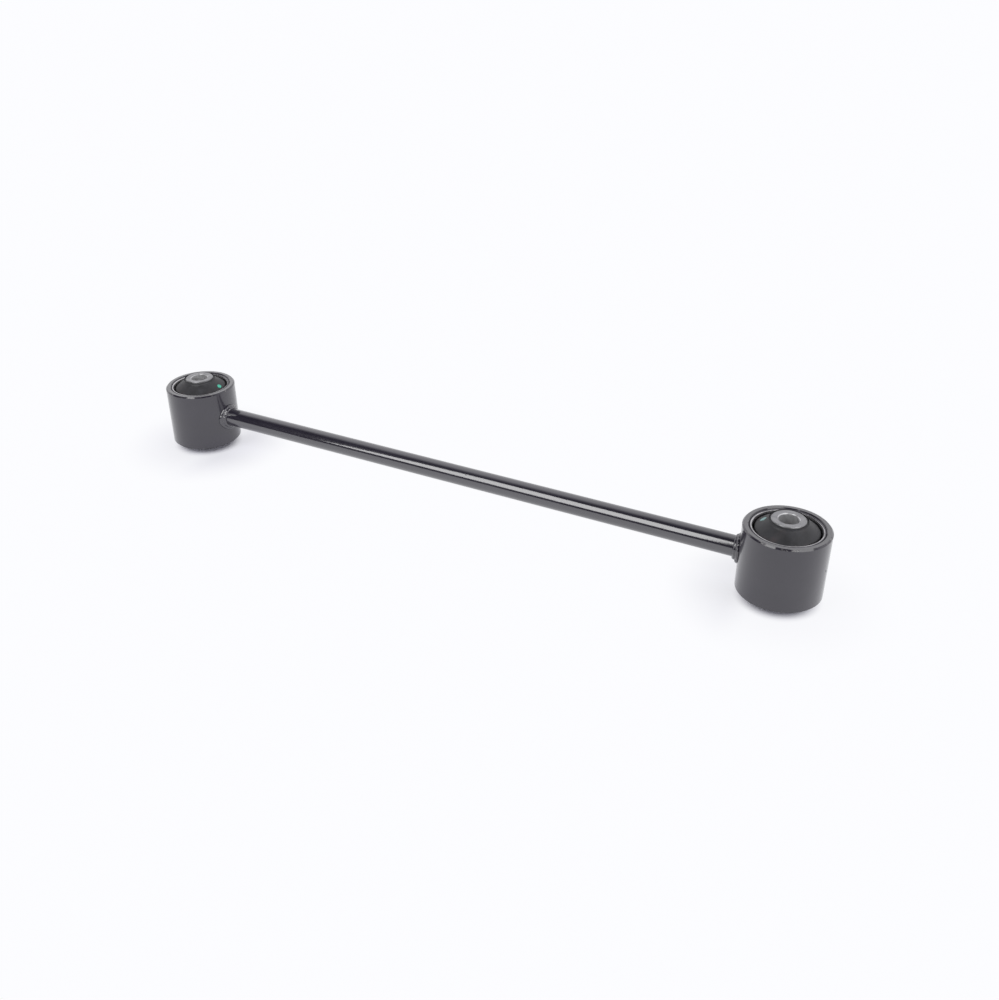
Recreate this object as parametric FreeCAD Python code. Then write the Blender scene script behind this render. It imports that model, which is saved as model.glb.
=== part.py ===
"""A suspension cross rod: a straight steel bar with a welded eye and a rubber bush at each end.

The bar lies along X. Each eye is a short length of steel tube that stands along Z, and the bar's
coped end seats on its wall and is held by a fillet weld that runs right round the bar. A bush is
pressed into each eye: a thin outer sleeve, a rubber body bonded inside it, and a thick inner sleeve
that stands proud at both ends, where the bolt and the bracket's cheeks clamp it. The arm swings on
its bolts because the rubber twists between the two sleeves.

The origin is midway between the two bolt bores, on the bar's axis. All sizes are in millimetres.
"""

import FreeCAD
import Part

import math
import os

from FreeCAD import Vector

# The arm
BORE_SPACING = 540.0  # from bolt bore to bolt bore
ROD_DIAMETER = 16.0
EYE_DIAMETER = 62.0  # outside
EYE_WALL = 4.5
EYE_LENGTH = 52.5  # along the bolt
EYE_OUTER_CHAMFER = 1.1
EYE_MOUTH_CHAMFER = 0.6

# The bush's steel sleeves
BUSH_RECESS = 0.5  # from the eye's end face down to the outer sleeve's end
OUTER_SLEEVE_WALL = 2.0
OUTER_SLEEVE_LEAD_IN = 0.6  # outside chamfer that starts the press fit
OUTER_SLEEVE_INNER_CHAMFER = 0.4
INNER_SLEEVE_DIAMETER = 24.5
INNER_SLEEVE_PROUD = 6.75  # beyond the eye's end face
INNER_SLEEVE_CHAMFER = 0.6
BOLT_BORE_DIAMETER = 14.5  # passes an M14 bolt
BORE_CHAMFER = 0.7

# The bush's rubber
BOND_GAP = 0.04  # film of bonding agent round the inner sleeve
LIP_DROP = 1.1  # from the inner sleeve's end down to the rubber's lip
LIP_THICKNESS = 1.3
LIP_DEPTH = 1.0  # straight part of the lip above the cone
LIP_ROUND = 0.6
CONE_FLARE_ROUND = 3.0  # hollow between the lip and the cone
SHOULDER_DROP = 2.0  # from the eye's end face down to the cone's outer edge
SHOULDER_ROUND = 1.6
GROOVE_WIDTH = 1.9  # between the cone's edge and the outer sleeve
GROOVE_DEPTH = 5.5  # below the cone's outer edge
GROOVE_ROUND = 0.8
GROOVE_DRAFT = 0.3  # the groove is this much narrower at its bottom, on each side
SKIN_THICKNESS = 0.5  # rubber left on the outer sleeve's wall
SKIN_DROP = 1.6  # from the outer sleeve's end down to the skin's edge

# The fillet weld, laid in two passes side by side: one along the bar's toe, one along the eye's
WELD_LEG_ON_EYE = 3.7
WELD_LEG_ON_ROD = 4.2
WELD_SAG = 0.6  # the leg on the eye is this much longer under the bar, and shorter above it
WELD_VALLEY_RISE = 0.35  # from a flat fillet out to the valley between the two passes
WELD_CROWN = 0.6  # how far each pass bulges past its own chord
WELD_RIPPLE_HEIGHT = 0.26
WELD_RIPPLE_COUNT = 16
WELD_LEG_WANDER = 0.4  # how much the hand-laid bead widens and narrows on its way round
WELD_SLOW_WAVES = 2  # waves of that wander in a turn
WELD_QUICK_WAVES = 3
WELD_WANDER_START = 1.0  # radians, so that the waves don't begin together
WELD_ROOT = 2.5  # how deep the bead's blank reaches into the bar and the eye before it is trimmed
WELD_TOE_SINK = 0.35  # how far below the steel's surface the blank's two edges lie
WELD_PEAK_SHARE = 0.35  # where in a ripple its crest lies, from its start

# Worked out from the sizes above
rod_radius = ROD_DIAMETER / 2
eye_radius = EYE_DIAMETER / 2
eye_bore_radius = eye_radius - EYE_WALL
eye_end = EYE_LENGTH / 2
eye_centre = BORE_SPACING / 2
outer_sleeve_end = eye_end - BUSH_RECESS
outer_sleeve_bore_radius = eye_bore_radius - OUTER_SLEEVE_WALL
inner_sleeve_radius = INNER_SLEEVE_DIAMETER / 2
inner_sleeve_end = eye_end + INNER_SLEEVE_PROUD
bolt_bore_radius = BOLT_BORE_DIAMETER / 2

UP = Vector(0, 0, 1)
ORIGIN = Vector(0, 0, 0)


def section_point(radius, height):
    """A point of a turned piece's half section, which lies in the XZ plane."""
    return Vector(radius, 0, height)


def rounded_path(corners):
    """Edges through the corners, given as (point, radius).

    A radius above 0 rounds that corner with a tangent arc.
    """
    edges = []
    start = corners[0][0]
    for (before, _), (corner, radius), (after, _) in zip(corners, corners[1:], corners[2:]):
        if radius == 0:
            edges.append(Part.makeLine(start, corner))
            start = corner
            continue
        back = (before - corner).normalize()
        ahead = (after - corner).normalize()
        half_angle = back.getAngle(ahead) / 2
        reach = radius / math.tan(half_angle)
        centre = corner + (back + ahead).normalize() * (radius / math.sin(half_angle))
        arc_start = corner + back * reach
        arc_end = corner + ahead * reach
        arc_middle = centre + (corner - centre).normalize() * radius
        edges.append(Part.makeLine(start, arc_start))
        edges.append(Part.Arc(arc_start, arc_middle, arc_end).toShape())
        start = arc_end
    edges.append(Part.makeLine(start, corners[-1][0]))
    return edges


def turned_ring(end_corners):
    """A ring round Z with both ends alike.

    end_corners run over its upper end, from the inner wall to the outer.
    """
    upper = rounded_path(end_corners)
    lower = [edge.mirror(ORIGIN, UP) for edge in upper]
    inner_top = end_corners[0][0]
    outer_top = end_corners[-1][0]
    walls = [Part.makeLine(p, section_point(p.x, -p.z)) for p in (inner_top, outer_top)]
    outline = Part.Wire(Part.__sortEdges__(upper + lower + walls))
    return Part.Face(outline).revolve(ORIGIN, UP, 360)


def tube_end(bore_radius, radius, end, bore_chamfer, outer_chamfer):
    """The upper end of a plain tube, with a chamfer at its bore and another at its outside."""
    return [
        (section_point(bore_radius, end - bore_chamfer), 0),
        (section_point(bore_radius + bore_chamfer, end), 0),
        (section_point(radius - outer_chamfer, end), 0),
        (section_point(radius, end - outer_chamfer), 0),
    ]


def make_eye():
    """Short length of tube that holds the bush."""
    return turned_ring(
        tube_end(eye_bore_radius, eye_radius, eye_end, EYE_MOUTH_CHAMFER, EYE_OUTER_CHAMFER)
    )


def make_outer_sleeve():
    """Thin sleeve pressed into the eye."""
    return turned_ring(
        tube_end(
            outer_sleeve_bore_radius,
            eye_bore_radius,
            outer_sleeve_end,
            OUTER_SLEEVE_INNER_CHAMFER,
            OUTER_SLEEVE_LEAD_IN,
        )
    )


def make_inner_sleeve():
    """Thick sleeve that the bolt clamps."""
    return turned_ring(
        tube_end(
            bolt_bore_radius,
            inner_sleeve_radius,
            inner_sleeve_end,
            BORE_CHAMFER,
            INNER_SLEEVE_CHAMFER,
        )
    )


def make_rubber():
    """Rubber body: a lip round the inner sleeve, a cone, and a groove inside the outer sleeve."""
    bore_radius = inner_sleeve_radius + BOND_GAP
    lip_radius = bore_radius + LIP_THICKNESS
    lip_top = inner_sleeve_end - LIP_DROP
    groove_inner_radius = outer_sleeve_bore_radius - GROOVE_WIDTH
    skin_radius = outer_sleeve_bore_radius - SKIN_THICKNESS
    shoulder = eye_end - SHOULDER_DROP
    groove_bottom = shoulder - GROOVE_DEPTH
    skin_top = outer_sleeve_end - SKIN_DROP
    return turned_ring(
        [
            (section_point(bore_radius, lip_top), 0),
            (section_point(lip_radius, lip_top), LIP_ROUND),
            (section_point(lip_radius, lip_top - LIP_DEPTH), CONE_FLARE_ROUND),
            (section_point(groove_inner_radius, shoulder), SHOULDER_ROUND),
            (section_point(groove_inner_radius + GROOVE_DRAFT, groove_bottom), GROOVE_ROUND),
            (section_point(skin_radius - GROOVE_DRAFT, groove_bottom), GROOVE_ROUND),
            (section_point(skin_radius, skin_top), 0),
            (section_point(outer_sleeve_bore_radius, skin_top), 0),
        ]
    )


def make_eye_blank(centre_x):
    """The eye's outside as a plain solid cylinder, used to trim what seats on it."""
    return Part.makeCylinder(eye_radius, EYE_LENGTH, Vector(centre_x, 0, -eye_end), UP)


def make_rod():
    """Straight bar, coped at both ends to the eyes' outside."""
    bar = Part.makeCylinder(rod_radius, BORE_SPACING, Vector(-eye_centre, 0, 0), Vector(1, 0, 0))
    return bar.cut([make_eye_blank(-eye_centre), make_eye_blank(eye_centre)])


def eye_surface_distance(radius, angle):
    """How far from the eye's axis, along the bar, its wall lies at this radius and angle round the bar."""
    return math.sqrt(eye_radius**2 - (radius * math.cos(angle)) ** 2)


def weld_section(angle, height):
    """Half-plane section of the bead at one angle round the bar.

    The crowns of its two passes are raised by height.
    """
    slow_wave = math.sin(WELD_SLOW_WAVES * angle + WELD_WANDER_START)
    wander = WELD_LEG_WANDER * slow_wave * math.cos(WELD_QUICK_WAVES * angle)
    leg_on_rod = WELD_LEG_ON_ROD + wander
    leg_on_eye = WELD_LEG_ON_EYE - WELD_SAG * math.sin(angle) - wander

    def at(distance, radius):
        return Vector(distance, radius * math.cos(angle), radius * math.sin(angle))

    rod_toe = at(eye_surface_distance(rod_radius, angle) + leg_on_rod, rod_radius - WELD_TOE_SINK)
    eye_toe_radius = rod_radius + leg_on_eye
    eye_toe = at(eye_surface_distance(eye_toe_radius, angle) - WELD_TOE_SINK, eye_toe_radius)
    root = at(eye_surface_distance(rod_radius, angle) - WELD_ROOT, rod_radius - WELD_ROOT)
    outwards = (rod_toe + eye_toe - root * 2).normalize()
    valley = (rod_toe + eye_toe) / 2 + outwards * WELD_VALLEY_RISE
    bulge = outwards * (WELD_CROWN + height)
    edges = [
        Part.Arc(rod_toe, (rod_toe + valley) / 2 + bulge, valley).toShape(),
        Part.Arc(valley, (valley + eye_toe) / 2 + bulge, eye_toe).toShape(),
        Part.makeLine(eye_toe, root),
        Part.makeLine(root, rod_toe),
    ]
    return Part.Wire(edges)


def make_weld():
    """Fillet bead of overlapping ripples round the bar.

    It is made for an eye centred on the origin, with the bar towards +X.
    """
    pitch = 2 * math.pi / WELD_RIPPLE_COUNT
    ripples = []
    for number in range(WELD_RIPPLE_COUNT):
        start = number * pitch
        crest = start + WELD_PEAK_SHARE * pitch
        end = start + pitch
        sections = [
            weld_section(start, 0),
            weld_section(crest, WELD_RIPPLE_HEIGHT),
            weld_section(end, 0),
        ]
        ripples.append(Part.makeLoft(sections, True))
    bead = ripples[0].fuse(ripples[1:])
    bar = Part.makeCylinder(rod_radius, BORE_SPACING, ORIGIN, Vector(1, 0, 0))
    return bead.cut([make_eye_blank(0), bar])


def placed(shape, side):
    """A shape made about the origin, moved to the eye on that side: -1 is left, 1 is right.

    What goes to the right is turned half round, upright, so that it faces the bar.
    """
    moved = shape.copy()
    if side > 0:
        moved.rotate(ORIGIN, UP, 180)
    moved.translate(Vector(side * eye_centre, 0, 0))
    return moved


def main():
    os.makedirs("parts", exist_ok=True)
    nodes = {"rod": make_rod()}
    both_ends = {
        "eye": make_eye(),
        "weld": make_weld(),
        "bush_outer_sleeve": make_outer_sleeve(),
        "bush_rubber": make_rubber(),
        "bush_inner_sleeve": make_inner_sleeve(),
    }
    for name, shape in both_ends.items():
        nodes[f"left_{name}"] = placed(shape, -1)
        nodes[f"right_{name}"] = placed(shape, 1)
    for name, shape in nodes.items():
        shape.exportStep(f"parts/{name}.step")
        counts = f"{len(shape.Solids)} solid, {len(shape.Faces)} faces"
        print(f"{name}: {counts}, {shape.Volume:.1f} mm3, valid {shape.isValid()}")


main()
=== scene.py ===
# %% [markdown]
# # A suspension cross rod, finished and photographed
# The part is a straight steel bar with a welded eye at each end. A rubber bush fills each eye. Its shapes
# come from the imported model, which is loaded first and never moved. This lesson adds the camera, the light,
# the finishes and the small things that a maker leaves behind: weld ripples, paint dots and nibs.

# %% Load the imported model
import math

import bpy
from mathutils import Matrix, Vector


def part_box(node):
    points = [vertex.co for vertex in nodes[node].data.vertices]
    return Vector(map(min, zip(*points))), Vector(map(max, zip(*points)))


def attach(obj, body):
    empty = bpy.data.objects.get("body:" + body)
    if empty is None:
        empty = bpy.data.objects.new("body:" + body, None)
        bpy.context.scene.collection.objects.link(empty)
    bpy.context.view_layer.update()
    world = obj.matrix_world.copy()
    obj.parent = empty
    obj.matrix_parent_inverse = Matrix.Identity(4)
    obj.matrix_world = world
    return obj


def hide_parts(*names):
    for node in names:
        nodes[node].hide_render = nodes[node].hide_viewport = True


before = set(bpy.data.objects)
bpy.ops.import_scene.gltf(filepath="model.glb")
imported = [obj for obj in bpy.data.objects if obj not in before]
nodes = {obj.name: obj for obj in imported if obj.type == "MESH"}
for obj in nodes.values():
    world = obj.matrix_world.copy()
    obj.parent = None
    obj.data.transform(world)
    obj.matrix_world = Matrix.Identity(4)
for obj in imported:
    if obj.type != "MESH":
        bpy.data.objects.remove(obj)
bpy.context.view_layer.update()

MM = 0.001
print("pieces:", ", ".join(sorted(nodes)))

# %% [markdown]
# ## Sizes that the scene builds on
# Nothing is typed twice. The eyes and the outer sleeves are measured on the loaded pieces, and the table
# touches the lower end of an inner sleeve. What is added here then still fits if the model is packed again
# with other sizes.

# %% Measure the pieces
def middle(node):
    """The centre of a piece's box."""
    low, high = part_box(node)
    return (low + high) / 2


def extent(node):
    """The size of a piece's box."""
    low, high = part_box(node)
    return high - low


eye_centre = middle("right_eye").x
eye_radius = extent("right_eye").x / 2
floor_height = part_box("right_bush_inner_sleeve")[0].z
eye_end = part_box("right_eye")[1].z
mouth_radius = extent("right_bush_outer_sleeve").x / 2  # of the hole in the eye's end
print("eyes at", round(eye_centre / MM, 1), "mm, radius", round(eye_radius / MM, 1), "mm")
print("floor at", round(floor_height / MM, 2), "mm")

# %% [markdown]
# ## Camera
# The photograph was taken from above and from the right-hand end of the bar. The camera's place, heading,
# tilt and lens were found by matching the outlines of both eyes and the bar. The picture was cropped, so
# its optical centre isn't in its middle, and the camera's shift does the same here. A line of sight through
# a pixel later finds where on a piece a small mark belongs.

# %% Set the camera
IMAGE_WIDTH = 999
IMAGE_HEIGHT = 1000
SENSOR = 36.0
CAMERA_PLACE = Vector((385.6, -656.1, 416.0)) * MM
HEADING = math.radians(120.0)  # from +X towards +Y
TILT_DOWN = math.radians(29.28)
ROLL = math.radians(-1.13)
LENS = 37.85
OPTICAL_CENTRE_X = -37.9  # pixels from the middle of the picture, to the right
OPTICAL_CENTRE_Y = -15.0  # pixels from the middle of the picture, downwards
NEAREST = 10 * MM  # the camera sees nothing nearer than this
FARTHEST = 100.0

turned = Matrix.Rotation(HEADING - math.pi / 2, 4, "Z")
tilted = Matrix.Rotation(math.pi / 2 - TILT_DOWN, 4, "X")
rolled = Matrix.Rotation(ROLL, 4, "Z")

bpy.ops.object.camera_add()
camera = bpy.context.object
camera.name = "camera"
camera.matrix_world = Matrix.Translation(CAMERA_PLACE) @ turned @ tilted @ rolled
camera.data.sensor_width = SENSOR
camera.data.lens = LENS
camera.data.shift_x = -OPTICAL_CENTRE_X / IMAGE_HEIGHT
camera.data.shift_y = OPTICAL_CENTRE_Y / IMAGE_HEIGHT
camera.data.clip_start = NEAREST
camera.data.clip_end = FARTHEST
bpy.context.scene.camera = camera
bpy.context.scene.view_settings.view_transform = "Standard"


def sight_line(pixel):
    """Where a line of sight through a pixel of the picture starts, and which way it goes."""
    pixels_per_mm = IMAGE_HEIGHT / SENSOR
    across = (pixel[0] - IMAGE_WIDTH / 2 - OPTICAL_CENTRE_X) / pixels_per_mm
    up = -(pixel[1] - IMAGE_HEIGHT / 2 - OPTICAL_CENTRE_Y) / pixels_per_mm
    return CAMERA_PLACE, camera.matrix_world.to_3x3() @ Vector((across, up, -LENS)).normalized()


def spot_on(node, pixel):
    """The point of a piece that the picture shows at a pixel, and the way its surface faces there."""
    found, place, normal, _ = nodes[node].ray_cast(*sight_line(pixel))
    assert found, f"{node} isn't at pixel {pixel}"
    return place, normal


print("camera", round((CAMERA_PLACE - middle("rod")).length, 3), "m from the middle of the bar")

# %% [markdown]
# ## Shader helper
# A finish is easier to read as sums than as a web of nodes. This class wraps one output of a shader tree.
# Arithmetic on it adds Math nodes, and every other node comes from its one method, add.

# %% Write the shader helper
class Value:
    """One output of a shader tree. Sums, differences and products of values add Math nodes."""

    def __init__(self, tree, socket):
        self.tree = tree
        self.socket = socket

    def add(self, kind, settings, inputs, output=0):
        """A new node: its settings first, then the numbers or links of its sockets."""
        node = self.tree.nodes.new("ShaderNode" + kind)
        for name, setting in settings.items():
            setattr(node, name, setting)
        for name, value in inputs.items():
            if isinstance(value, Value):
                self.tree.links.new(value.socket, node.inputs[name])
            else:
                node.inputs[name].default_value = value
        return Value(self.tree, node.outputs[output])

    def maths(self, operation, *numbers):
        return self.add("Math", {"operation": operation}, dict(enumerate(numbers)))

    def __add__(self, other):
        return self.maths("ADD", self, other)

    def __radd__(self, other):
        return self.maths("ADD", other, self)

    def __sub__(self, other):
        return self.maths("SUBTRACT", self, other)

    def __rsub__(self, other):
        return self.maths("SUBTRACT", other, self)

    def __mul__(self, other):
        return self.maths("MULTIPLY", self, other)

    def __rmul__(self, other):
        return self.maths("MULTIPLY", other, self)

    def __pow__(self, other):
        return self.maths("POWER", self, other)

    def __abs__(self):
        return self.maths("ABSOLUTE", self)

    def fade(self, start, end):
        """0 below start, 1 above end, and a smooth change between them."""
        return self.add(
            "MapRange",
            {"interpolation_type": "SMOOTHSTEP"},
            {"Value": self, "From Min": start, "From Max": end},
        )

    def blend(self, low, high):
        """The colour low where this value is 0, and high where it is 1. Either may be a value too."""
        inputs = {0: self, 6: low, 7: high}
        return self.add("Mix", {"data_type": "RGBA", "clamp_factor": True}, inputs, output=2)

    def noise(self, scale, detail=2.0, roughness=0.5):
        """Noise from 0 to 1 at this place. scale is in blobs for each metre."""
        inputs = {"Vector": self, "Scale": scale, "Detail": detail, "Roughness": roughness}
        return self.add("TexNoise", {}, inputs)

    def bump(self, depth, under=None):
        """A surface normal raised by this height, where 1 stands for a depth in metres."""
        inputs = {"Height": self, "Distance": depth}
        if under is not None:
            inputs["Normal"] = under
        return self.add("Bump", {}, inputs)


def new_finish(name):
    """A new material, its Principled shader node, and the place on the piece as a value."""
    material = bpy.data.materials.new(name)
    material.use_nodes = True
    shader = material.node_tree.nodes["Principled BSDF"]
    place = Value(material.node_tree, None).add("TexCoord", {}, {}, output="Object")
    return material, shader, place


def split(place):
    """The three coordinates of a place."""
    return [place.add("SeparateXYZ", {}, {"Vector": place}, output=axis) for axis in "XYZ"]


def connect(shader, **varying):
    """Links values that change over the surface to the shader's sockets, named with _ for a space."""
    for name, value in varying.items():
        value.tree.links.new(value.socket, shader.inputs[name.replace("_", " ")])


def set_even(shader, **even):
    """Sets what is the same all over the surface on the shader's own sockets."""
    for name, value in even.items():
        shader.inputs[name.replace("_", " ")].default_value = value


print("shader helper ready")

# %% [markdown]
# ## Floor
# The part was photographed on a white table so bright that it shows nearly no shade. Only close under the
# eyes does the floor turn grey, and a faint haze lies round them. More light would whiten the floor too, but
# it would also wash out the black paint. So the floor here glows white by itself, and under each eye it
# changes to a bluish card, which takes the real shadow of the part; its blue is a painted tint of that shade.

# %% Lay the floor
FLOOR_SIZE = 60.0
FLOOR_WHITE = (0.975, 0.978, 1.0, 1.0)
# bluish: a painted tint that turns the card's real shade lavender
LAVENDER_SHADE_CARD = (0.79, 0.785, 0.89, 1.0)
SHADE_START = 0.66  # in eye radii from an eye's centre
SHADE_END = 1.06
HAZE_START = 1.0
HAZE_END = 2.8
HAZE_LEFT = 0.24  # how much of the card shows through in the haze
HAZE_RIGHT = 0.08
HAZE_INSIDE = 0.22  # more of it on the sides that face each other, where the bar keeps light out
INSIDE_START = 0.3  # in eye radii from an eye's centre towards the other eye
INSIDE_FULL = 1.1


def floor_finish():
    material, shader, place = new_finish("floor_white")
    across, along, _ = split(place)
    from_eye = (abs(abs(across) - eye_centre) ** 2 + abs(along) ** 2) ** 0.5
    beyond_shade = from_eye.fade(SHADE_START * eye_radius, SHADE_END * eye_radius)
    beyond_haze = from_eye.fade(HAZE_START * eye_radius, HAZE_END * eye_radius)
    haze = HAZE_LEFT + (HAZE_RIGHT - HAZE_LEFT) * across.fade(-eye_centre, eye_centre)
    inside = (eye_centre - abs(across)).fade(INSIDE_START * eye_radius, INSIDE_FULL * eye_radius)
    haze = haze + HAZE_INSIDE * inside
    glow = beyond_shade * (1 - haze + haze * beyond_haze)
    set_even(shader, Base_Color=LAVENDER_SHADE_CARD, Roughness=1.0, Specular_IOR_Level=0.0)
    tree = material.node_tree
    card = Value(tree, shader.outputs[0])
    white = place.add("Emission", {}, {"Color": FLOOR_WHITE})
    surface = place.add("MixShader", {}, {0: glow, 1: card, 2: white})
    tree.links.new(surface.socket, tree.nodes["Material Output"].inputs["Surface"])
    return material


bpy.ops.mesh.primitive_plane_add(size=FLOOR_SIZE, location=(0, 0, floor_height))
floor = bpy.context.object
floor.name = "floor"
bpy.ops.object.transform_apply()
floor.data.materials.append(floor_finish())
print("floor", FLOOR_SIZE, "m wide at", round(floor.data.vertices[0].co.z / MM, 2), "mm")

# %% [markdown]
# ## Light
# Glossy black paint shows its surroundings more than its own colour. The bar mirrors a white background
# behind it, a ceiling that darkens from white to black overhead, a soft lamp in front and to the left, and
# the white table below. The edges of the mirrored lamp, followed back from the bar, make an upright
# rectangle 0.6 m wide. The second lamp, to the right of the camera, glints in the right eye's front edge.

# %% Hang the ceiling sheet
WORLD_WHITE = (0.98, 0.975, 1.0, 1.0)
SHEET_RADIUS = 3.0
SHEET_LENGTH = 9.0
SHEET_BACK = math.radians(50)  # elevation of the sheet's rear edge, seen from the part
SHEET_SWEEP = math.radians(130)  # from the rear edge over the top and down to the floor in front
SHEET_STEPS = 32
SHEET_BLACK = (0.012, 0.012, 0.014, 1.0)
NO_GLOW = (0.0, 0.0, 0.0, 1.0)
SHEET_GLOW = (0.97, 0.965, 1.0, 1.0)
GLOW_END = -0.35  # in metres behind the part: no glow from here forwards
GLOW_FULL = 1.93
GLOW_SHIFT = 0.45  # to the left the glow reaches this much further forwards
SHIFT_FROM = 0.2  # in metres to the left of the middle
SHIFT_TO = 1.4
FIRST_PLANE = 0.1  # of any size, because it is merged to a point

world = bpy.data.worlds.new("white_studio")
world.use_nodes = True
world.node_tree.nodes["Background"].inputs["Color"].default_value = WORLD_WHITE
bpy.context.scene.world = world

bpy.ops.object.select_all(action="DESELECT")
bpy.ops.mesh.primitive_plane_add(size=FIRST_PLANE)
sheet = bpy.context.object
sheet.name = "ceiling_sheet"
bpy.ops.object.mode_set(mode="EDIT")
bpy.ops.mesh.merge(type="CENTER")
rear_edge = Vector((0, SHEET_RADIUS * math.cos(SHEET_BACK), SHEET_RADIUS * math.sin(SHEET_BACK)))
bpy.ops.transform.translate(value=rear_edge - Vector((SHEET_LENGTH / 2, 0, 0)))
bpy.ops.mesh.extrude_vertices_move(TRANSFORM_OT_translate={"value": (SHEET_LENGTH, 0, 0)})
bpy.ops.mesh.select_all(action="SELECT")
bpy.ops.mesh.spin(steps=SHEET_STEPS, angle=SHEET_SWEEP, center=(0, 0, 0), axis=(-1, 0, 0))
bpy.ops.object.mode_set(mode="OBJECT")


def sheet_finish():
    material, shader, place = new_finish("sheet_fading_to_black")
    across, along, _ = split(place)
    behind = along + GLOW_SHIFT * (0 - across).fade(SHIFT_FROM, SHIFT_TO)
    glow = behind.fade(GLOW_END, GLOW_FULL)
    set_even(shader, Base_Color=SHEET_BLACK, Roughness=1.0, Specular_IOR_Level=0.0, Emission_Strength=1.0)
    connect(shader, Emission_Color=glow.blend(NO_GLOW, SHEET_GLOW))
    return material


sheet.data.materials.append(sheet_finish())
sheet.visible_camera = False
print("ceiling sheet", round(max(v.co.z for v in sheet.data.vertices), 2), "m high")

# %% [markdown]
# ## Soft lamps
# Each lamp is an upright soft box, which is an area light. Its brightness is given as radiance, because
# that is what a mirror shows, and the watts follow from it and the lamp's size.

# %% Stand the two soft lamps
LAMP_WIDTH = 0.61  # in metres, as the places are
LAMP_HEIGHT = 0.84
LEFT_LAMP_PLACE = (-0.215, -0.56, 0.63)
LEFT_LAMP_TURN = 0.0
LEFT_LAMP_RADIANCE = 3.7
RIGHT_LAMP_PLACE = (0.77, -0.23, 0.63)
RIGHT_LAMP_TURN = math.radians(60)
RIGHT_LAMP_RADIANCE = 2.4


def soft_lamp(name, place, turn, radiance):
    """An upright soft box that faces along +Y, turned about the upright. Its radiance sets its watts."""
    bpy.ops.object.light_add(type="AREA", location=place, rotation=(math.pi / 2, 0, turn))
    lamp = bpy.context.object
    lamp.name = name
    lamp.data.shape = "RECTANGLE"
    lamp.data.size = LAMP_WIDTH
    lamp.data.size_y = LAMP_HEIGHT
    lamp.data.energy = radiance * math.pi * LAMP_WIDTH * LAMP_HEIGHT
    lamp.visible_camera = False
    print(name, round(lamp.data.energy, 2), "W")


soft_lamp("left_lamp", LEFT_LAMP_PLACE, LEFT_LAMP_TURN, LEFT_LAMP_RADIANCE)
soft_lamp("right_lamp", RIGHT_LAMP_PLACE, RIGHT_LAMP_TURN, RIGHT_LAMP_RADIANCE)

# %% [markdown]
# ## Black paint
# The bar, eyes and welds were painted after welding, in one smooth black coat. Under it the steel's skin
# isn't quite flat, so the gloss has a faint orange peel and slow waves. A thin dull film of dust and
# handling lies over it, which is the rough coat here. The eyes' flat ends are painted greyer: an even
# painted sheen that stands for the bright backdrop they mirror, and more grey where the film lies. Their
# sharp edges have rubbed through in places to bare metal. All of it comes from noise and from the distance to
# a bolt's axis, rather than from a painted picture, so that it fits the pieces from every side.

# %% Mix the black paint
# the blacks are the paint's own; their faint blue is a painted tint of the bluish light that the gloss
# mirrors
PAINT_BLACK = (0.0190, 0.0165, 0.0270, 1.0)
PAINT_GREY = (0.030, 0.0265, 0.040, 1.0)  # where the film is thin or dusty
# painted sheen: the eyes' flat ends turn towards this grey to stand for the backdrop they mirror, more so
# under the film
RIM_SHEEN_AND_FILM_GREY = (0.050, 0.049, 0.056, 1.0)
EDGE_METAL = (0.15, 0.145, 0.15, 1.0)
DUST_SPECKS = 2600.0  # the scale of a pattern is in blobs for each metre
DUST_SHOWS = (0.62, 0.80)  # where the noise starts to show and where it shows in full
FILM_PATCHES = 38.0
FILM_SHOWS = (0.35, 0.75)
WEAR_PATCHES = 240.0
WEAR_SHOWS = (0.53, 0.62)
PEEL_SCALE = 330.0
WAVE_SCALE = 55.0
DUST_GREY = 0.6  # how far dust and film turn the paint grey
FILM_GREY = 0.35
RIM_SHEEN_SHARE = 0.7  # the rim's grey: an even share, which is painted sheen, and one that follows the film
RIM_FILM = 0.6
CLEAN_ROUGH = 0.075  # the paint's roughness, and what is added to it
FILM_ROUGH = 0.04
DUST_ROUGH = 0.12
WORN_ROUGH = 0.25
UNDER_ROUGH = 0.6  # on the lower ends, which are scuffed by tables
WORN_METAL = 0.6
EYE_INDEX = 1.66
WELD_INDEX = 1.95
BAR_INDEX = 2.0  # drawn bar is smoother than tube, so its gloss is stronger
DULL_FILM = 0.5  # how much of the bar and the eyes the dull film covers
WELD_FILM = 0.1  # the same for the welds, which hands and cloths don't reach
DULL_INDEX = 1.5
DULL_ROUGH = 0.30
EDGE = 1.3 * MM  # a little wider than the eye's chamfer
END_FADE = 0.8  # the share of it over which the paint of the wall turns to that of the end
EDGE_FADE = 0.9
MOUTH = 0.7 * MM  # a little wider than the chamfer of the eye's mouth
MOUTH_FADE = 0.8
PEEL_DEPTH = 0.02 * MM
EYE_PEEL_DEPTH = 0.03 * MM
WAVE_DEPTH = 0.12 * MM
WELD_WAVE_DEPTH = 0.05 * MM


def from_bolt_axis(place):
    """Distance from the nearer bolt's axis."""
    across, along, _ = split(place)
    return (abs(abs(across) - eye_centre) ** 2 + abs(along) ** 2) ** 0.5


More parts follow.
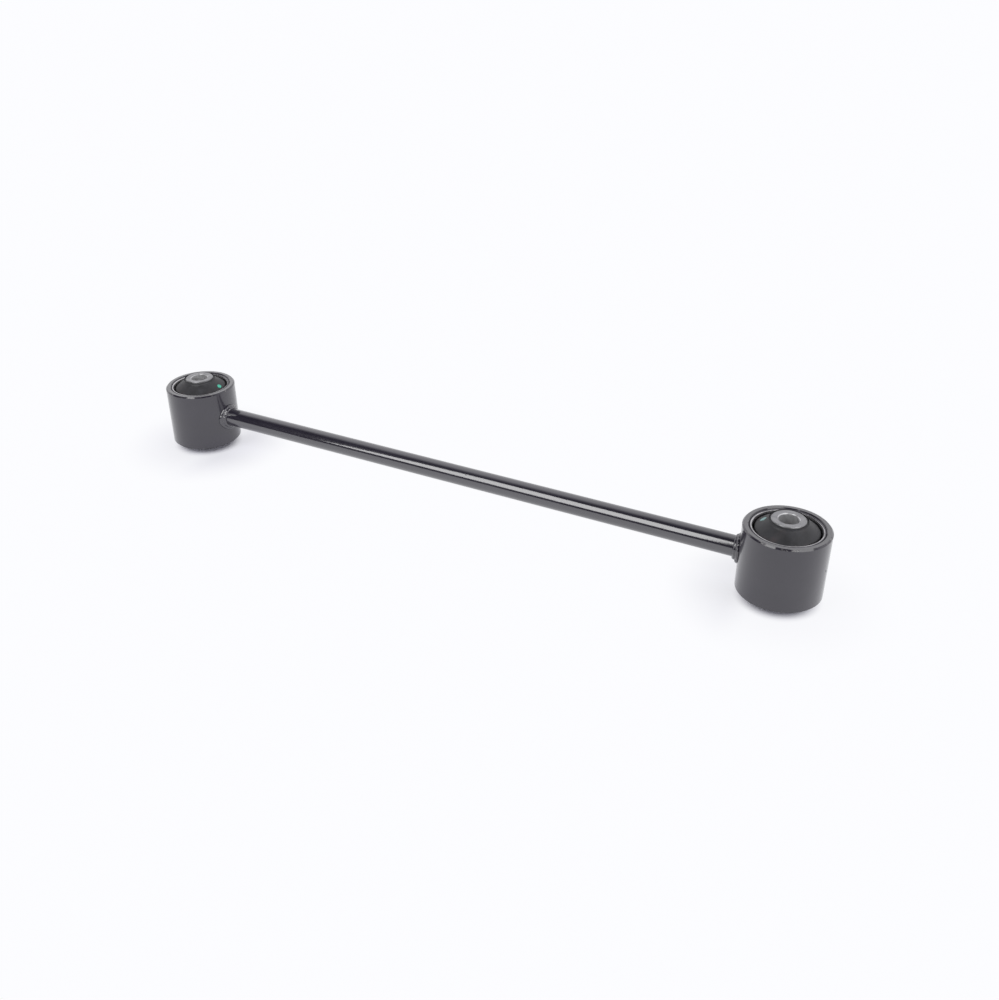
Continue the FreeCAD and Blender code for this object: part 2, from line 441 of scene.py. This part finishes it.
def black_paint(name, index, peel_depth, wave_depth, dull_film):
    material, shader, place = new_finish(name)
    _, _, up = split(place)
    dust = place.noise(DUST_SPECKS, detail=3.0).fade(*DUST_SHOWS)
    film = place.noise(FILM_PATCHES, detail=3.0).fade(*FILM_SHOWS)
    distance = from_bolt_axis(place)
    at_end = abs(up).fade(eye_end - EDGE, eye_end - END_FADE * EDGE)
    at_edge = distance.fade(eye_radius - EDGE, eye_radius - EDGE_FADE * EDGE)
    outside_mouth = distance.fade(mouth_radius + MOUTH_FADE * MOUTH, mouth_radius + MOUTH)
    on_rim = at_end * (1 - at_edge) * outside_mouth
    worn = at_end * at_edge * place.noise(WEAR_PATCHES, detail=4.0, roughness=0.65).fade(*WEAR_SHOWS)
    underneath = at_end * (0 - up).fade(0, eye_end)
    painted = (DUST_GREY * dust + FILM_GREY * film).blend(PAINT_BLACK, PAINT_GREY)
    rim = (on_rim * (RIM_SHEEN_SHARE + RIM_FILM * film)).blend(painted, RIM_SHEEN_AND_FILM_GREY)
    colour = worn.blend(rim, EDGE_METAL)
    roughness = CLEAN_ROUGH + FILM_ROUGH * film + DUST_ROUGH * dust
    roughness = roughness + WORN_ROUGH * worn + UNDER_ROUGH * underneath
    waves = place.noise(WAVE_SCALE, detail=1.0).bump(wave_depth)
    peel = place.noise(PEEL_SCALE, detail=2.0).bump(peel_depth, waves)
    connect(shader, Base_Color=colour, Roughness=roughness, Metallic=WORN_METAL * worn, Normal=peel)
    connect(shader, Coat_Weight=(dull_film + (1 - dull_film) * on_rim) * (1 - underneath))
    set_even(shader, IOR=index, Coat_Roughness=DULL_ROUGH, Coat_IOR=DULL_INDEX)
    return material


bar_paint = black_paint("black_paint_on_bar", BAR_INDEX, PEEL_DEPTH, WAVE_DEPTH, DULL_FILM)
eye_paint = black_paint("black_paint_on_eyes", EYE_INDEX, EYE_PEEL_DEPTH, WAVE_DEPTH, DULL_FILM)
weld_paint = black_paint("black_paint_on_welds", WELD_INDEX, PEEL_DEPTH, WELD_WAVE_DEPTH, WELD_FILM)
print("paint mixed")

# %% [markdown]
# ## Bare steel
# The sleeves are turned from tube and left bare. The inner sleeve's end carries the fine rings of the
# turning tool and is a little dull. The outer sleeve was cut to length after it was drawn, so its thin end
# ring is brighter. The rings could be cut into the mesh, but at a fifth of a millimetre a bump in the finish
# does as well. It follows the distance from the bolt's axis, which is the same formula for both bushes
# because they lie at equal distances on either side of the middle.

# %% Turn the bare steel
STEEL_GREY = (0.27, 0.27, 0.28, 1.0)
STEEL_DULL = (0.19, 0.19, 0.20, 1.0)
# painted light: the bore's wall is much lighter than the sleeve's end, which lifts the shade inside the hole
BORE_PAINTED_FILL_GREY = (0.60, 0.60, 0.61, 1.0)
BRIGHT_GREY = (0.66, 0.65, 0.66, 1.0)
BRIGHT_DULL = (0.42, 0.41, 0.42, 1.0)
OIL_FILM = 0.8  # how much of the steel a film of oil covers
OIL_ROUGH = 0.30
STEEL_METAL = 0.65
BRIGHT_METAL = 0.8
STAIN_PATCHES = 160.0
STAIN_SHOWS = (0.35, 0.7)
STAIN_SHARE = 0.75  # of what dulls the colour, with the grain's share
GRAIN_SHARE = 0.25
GRAIN_SCALE = 2200.0
BARE_ROUGH = 0.34
STAIN_ROUGH = 0.12
RING_PITCH = 0.22 * MM
RING_SHARE = 0.5  # of the bump's height, next to the grain
RING_DEPTH = 0.004 * MM
BORE_RADIUS = 7.7 * MM  # a little more than the bolt bore's
BORE_FADE = 1.02
OVERSPRAY_RADIUS = 25.30 * MM  # paint crept over the outer sleeve's end down to here at the front
BACK_PAINTED_SHADE_LEAN = 0.75 * MM  # and this much further in at the back, which is painted shade that darkens the back of the ring
OVERSPRAY_FADE = 1.008
SHADE_LEAN_START = -0.3  # in eye radii towards the back
SHADE_LEAN_FULL = 0.7


def bare_steel(name, metallic, colour_at):
    """Turned steel. colour_at gives its colour from the stain, the distance from the bolt's axis and Y."""
    material, shader, place = new_finish(name)
    distance = from_bolt_axis(place)
    rings = distance.maths("SINE", distance * (2 * math.pi / RING_PITCH))
    stain = place.noise(STAIN_PATCHES, detail=4.0, roughness=0.6).fade(*STAIN_SHOWS)
    grain = place.noise(GRAIN_SCALE)
    _, along, _ = split(place)
    colour = colour_at(STAIN_SHARE * stain + GRAIN_SHARE * grain, distance, along)
    roughness = BARE_ROUGH + STAIN_ROUGH * stain
    normal = (RING_SHARE * rings + grain).bump(RING_DEPTH)
    connect(shader, Base_Color=colour, Roughness=roughness, Normal=normal)
    set_even(shader, Metallic=metallic, Coat_Weight=OIL_FILM, Coat_Roughness=OIL_ROUGH)
    return material


def turned_colour(stain, distance, along):
    end = stain.blend(STEEL_GREY, STEEL_DULL)
    # the lighter grey inside the bore is painted light
    return distance.fade(BORE_RADIUS, BORE_FADE * BORE_RADIUS).blend(BORE_PAINTED_FILL_GREY, end)


def cut_colour(stain, distance, along):
    end = stain.blend(BRIGHT_GREY, BRIGHT_DULL)
    # the dark ring is overspray; its lean towards the back is painted shade
    paint_and_shade_reach = distance + BACK_PAINTED_SHADE_LEAN * along.fade(SHADE_LEAN_START * eye_radius, SHADE_LEAN_FULL * eye_radius)
    return paint_and_shade_reach.fade(OVERSPRAY_RADIUS, OVERSPRAY_FADE * OVERSPRAY_RADIUS).blend(end, PAINT_GREY)


steel = bare_steel("turned_steel", STEEL_METAL, turned_colour)
bright_steel = bare_steel("cut_steel", BRIGHT_METAL, cut_colour)
print("steel turned")

# %% [markdown]
# ## Rubber
# The bush is moulded black rubber with a satin skin. The skin has the fine grain of the mould, and a thin
# dry bloom that makes it greyer or browner in places. The bloom is mixed into the colour and the roughness
# alike, because a dry patch on real rubber is paler and duller at once.

# %% Mould the rubber
RUBBER_BLACK = (0.021, 0.021, 0.024, 1.0)
RUBBER_BLOOM = (0.043, 0.043, 0.050, 1.0)
RUBBER_STAIN = (0.056, 0.043, 0.046, 1.0)  # a brownish bloom
BLOOM_PATCHES = 120.0
BLOOM_SHOWS = (0.35, 0.75)
BLOOM_SHARE = 0.8
BROWN_PATCHES = 75.0
BROWN_SHOWS = (0.52, 0.70)
MOULD_GRAIN = 3000.0
MOULD_GRAIN_DEPTH = 0.012 * MM
MOULD_WAVES = 260.0
MOULD_WAVE_DEPTH = 0.05 * MM
SATIN_ROUGH = 0.44
BLOOM_ROUGH = 0.14
GRAIN_ROUGH = 0.08


def moulded_rubber():
    material, shader, place = new_finish("satin_rubber")
    bloom = place.noise(BLOOM_PATCHES, detail=4.0, roughness=0.6).fade(*BLOOM_SHOWS)
    grain = place.noise(MOULD_GRAIN)
    brown = place.noise(BROWN_PATCHES, detail=3.0).fade(*BROWN_SHOWS)
    colour = (BLOOM_SHARE * bloom).blend(RUBBER_BLACK, brown.blend(RUBBER_BLOOM, RUBBER_STAIN))
    roughness = SATIN_ROUGH + BLOOM_ROUGH * bloom + GRAIN_ROUGH * grain
    waves = place.noise(MOULD_WAVES).bump(MOULD_WAVE_DEPTH)
    connect(shader, Base_Color=colour, Roughness=roughness, Normal=grain.bump(MOULD_GRAIN_DEPTH, waves))
    return material


rubber = moulded_rubber()
print("rubber moulded")

# %% [markdown]
# ## Finishes on the pieces
# On the real part one coat of paint covers bar, eyes and welds. The sleeves and the rubber stay bare, apart
# from a thin ring where paint crept onto the outer sleeves' ends, which painted shade widens at the back. The
# two sides are alike, so a piece's name without its side picks the finish.

# %% Give each piece its finish
finishes = {
    "rod": bar_paint,
    "eye": eye_paint,
    "weld": weld_paint,
    "bush_outer_sleeve": bright_steel,
    "bush_rubber": rubber,
    "bush_inner_sleeve": steel,
}
for name, node in nodes.items():
    kind = name.removeprefix("left_").removeprefix("right_")
    node.material_slots[0].material = finishes[kind]
    print(name, "gets", finishes[kind].name)

# %% [markdown]
# ## Weld beads
# A welder's bead freezes ripple by ripple, each one lapping the last, and never as evenly as a drawing. It
# could be sculpted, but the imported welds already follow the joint, so the beads start as copies of them.
# Remeshing melts their faces into one skin, as a puddle of steel would, and slow and quick waves then knock
# it about before it is painted.

# %% Lay the weld beads
BEAD_MERGE = 0.002 * MM  # the corners of loose faces that are nearer than this become one
BEAD_VOXEL = 0.2 * MM
BEAD_SMOOTHING = 2
BEAD_SETTLING = 0.5
BEAD_LUMPS = ((4.0 * MM, 0.50 * MM), (1.6 * MM, 0.13 * MM))  # size and depth of the waves


def add_modifier(piece, name, kind, **settings):
    """Adds a modifier with its settings and applies it."""
    modifier = piece.modifiers.new(name, kind)
    for key, value in settings.items():
        setattr(modifier, key, value)
    bpy.ops.object.modifier_apply(modifier=name)


def start_editing(piece):
    """Makes a piece the only selected one, with all of its mesh selected in edit mode."""
    bpy.ops.object.select_all(action="DESELECT")
    piece.select_set(True)
    bpy.context.view_layer.objects.active = piece
    bpy.ops.object.mode_set(mode="EDIT")
    bpy.ops.mesh.select_all(action="SELECT")


def waves_of(name, size):
    """A cloud pattern for a Displace modifier."""
    clouds = bpy.data.textures.new(name, "CLOUDS")
    clouds.noise_scale = size
    clouds.noise_depth = 1
    return clouds


def lay_bead(side):
    node = nodes[side + "_weld"]
    bead = bpy.data.objects.new(side + "_weld_bead", node.data.copy())
    bpy.context.collection.objects.link(bead)
    start_editing(bead)
    bpy.ops.mesh.remove_doubles(threshold=BEAD_MERGE)
    bpy.ops.object.mode_set(mode="OBJECT")
    bpy.ops.mesh.customdata_custom_splitnormals_clear()
    add_modifier(bead, "melt", "REMESH", mode="VOXEL", voxel_size=BEAD_VOXEL)
    add_modifier(bead, "settle", "SMOOTH", factor=BEAD_SETTLING, iterations=BEAD_SMOOTHING)
    for size, depth in BEAD_LUMPS:
        clouds = waves_of(side + "_lumps", size)
        add_modifier(bead, "lumps", "DISPLACE", texture=clouds, strength=depth, texture_coords="LOCAL")
    bpy.ops.object.shade_smooth()
    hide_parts(side + "_weld")
    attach(bead, "arm")
    bead.data.materials.clear()
    bead.data.materials.append(weld_paint)
    return bead


for side in ("left", "right"):
    bead = lay_bead(side)
    print(bead.name, len(bead.data.polygons), "faces")

# %% [markdown]
# ## Paint marks and nibs
# An inspector's green dot sits on the left bush, and a smear of the same paint on the right one. Here and
# there a speck of dirt dried into the black paint as a nib. Each is a small blob: a round outline knocked
# about, laid on the surface where the picture shows it, thickened and rounded off.

# %% Dab on the paint marks
DOT_GREEN = (0.045, 0.46, 0.31, 1.0)
DOT_PALE = (0.08, 0.55, 0.40, 1.0)
SMEAR_TEAL = (0.10, 0.22, 0.22, 1.0)
SMEAR_PALE = (0.32, 0.52, 0.50, 1.0)
BRUSH_MARKS = 900.0
BRUSH_SHOWS = (0.35, 0.65)
BRUSH_BUMPS = 1500.0
BRUSH_DEPTH = 0.03 * MM
DAB_ROUGH = 0.35
DRY_ROUGH = 0.15
DROP_CORNERS = 36
DROP_SIZE = 0.5  # radius before the drop is resized
DROP_RIM = 0.12  # two steps inwards from the outline, which keep its edge crisp when it is rounded
DROP_SHOULDER = 0.14
DROP_EVENNESS = 0.3
GREEN_DOT_PIXEL = (219.4, 386.3)
TEAL_SMEAR_PIXEL = (763.4, 518.9)


def dab_paint(name, dark, pale):
    material, shader, place = new_finish(name)
    brushed = place.noise(BRUSH_MARKS, detail=3.0).fade(*BRUSH_SHOWS)
    connect(shader, Base_Color=brushed.blend(dark, pale), Roughness=DAB_ROUGH + DRY_ROUGH * brushed)
    connect(shader, Normal=place.noise(BRUSH_BUMPS).bump(BRUSH_DEPTH))
    return material


def blob(name, node, pixel, length, width, height, turn=0.0, seed=0, ragged=0.1):
    """A drop of paint on a piece, where the picture shows it, turned about the way the surface faces."""
    place, facing = spot_on(node, pixel)
    bpy.ops.object.select_all(action="DESELECT")
    bpy.ops.mesh.primitive_circle_add(vertices=DROP_CORNERS, radius=DROP_SIZE, fill_type="NGON")
    drop = bpy.context.object
    drop.name = name
    start_editing(drop)
    bpy.ops.mesh.inset(thickness=DROP_RIM)
    bpy.ops.mesh.inset(thickness=DROP_SHOULDER)
    bpy.ops.mesh.select_all(action="SELECT")
    bpy.ops.transform.vertex_random(offset=ragged, uniform=DROP_EVENNESS, seed=seed)
    bpy.ops.transform.resize(value=(length, width, 0), center_override=(0, 0, 0))
    bpy.ops.object.mode_set(mode="OBJECT")
    spin = Matrix.Rotation(turn, 4, "Z")
    lean = facing.to_track_quat("Z", "Y").to_matrix().to_4x4()
    drop.matrix_world = Matrix.Translation(place) @ lean @ spin
    bpy.ops.object.transform_apply(location=True, rotation=True, scale=True)
    add_modifier(drop, "lie", "SHRINKWRAP", target=nodes[node], wrap_method="NEAREST_SURFACEPOINT")
    add_modifier(drop, "thicken", "SOLIDIFY", thickness=height, offset=1.0)
    add_modifier(drop, "round", "SUBSURF", levels=2)
    bpy.ops.object.shade_smooth()
    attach(drop, "arm")
    print(name, "at", [round(value / MM, 1) for value in place])
    return drop


dot = blob(
    "green_dot", "left_bush_rubber", GREEN_DOT_PIXEL,
    length=4.6 * MM, width=4.0 * MM, height=0.25 * MM, seed=3,
)
smear = blob(
    "teal_smear", "right_bush_rubber", TEAL_SMEAR_PIXEL,
    length=4.8 * MM, width=4.6 * MM, height=0.15 * MM, turn=1.9, seed=5, ragged=0.14,
)
for drop, dark, pale in ((dot, DOT_GREEN, DOT_PALE), (smear, SMEAR_TEAL, SMEAR_PALE)):
    drop.data.materials.append(dab_paint(drop.name + "_paint", dark, pale))

# %% Let nibs dry into the black paint
BAR_NIB_PIXEL = (466.0, 475.0)
EYE_NIB_PIXEL = (825.9, 571.0)
NIB_WIDTH = 0.8 * MM
NIB_HEIGHT = 0.22 * MM

nibs = [
    blob("bar_nib", "rod", BAR_NIB_PIXEL, length=1.0 * MM, width=NIB_WIDTH, height=NIB_HEIGHT, seed=7),
    blob("eye_nib", "right_eye", EYE_NIB_PIXEL, length=1.1 * MM, width=NIB_WIDTH, height=NIB_HEIGHT, seed=8),
]
for nib in nibs:
    nib.data.materials.append(weld_paint)
print(len(nibs), "nibs")

# %% [markdown]
# ## Sizes and finish
# Paint and marks add no size to the part.
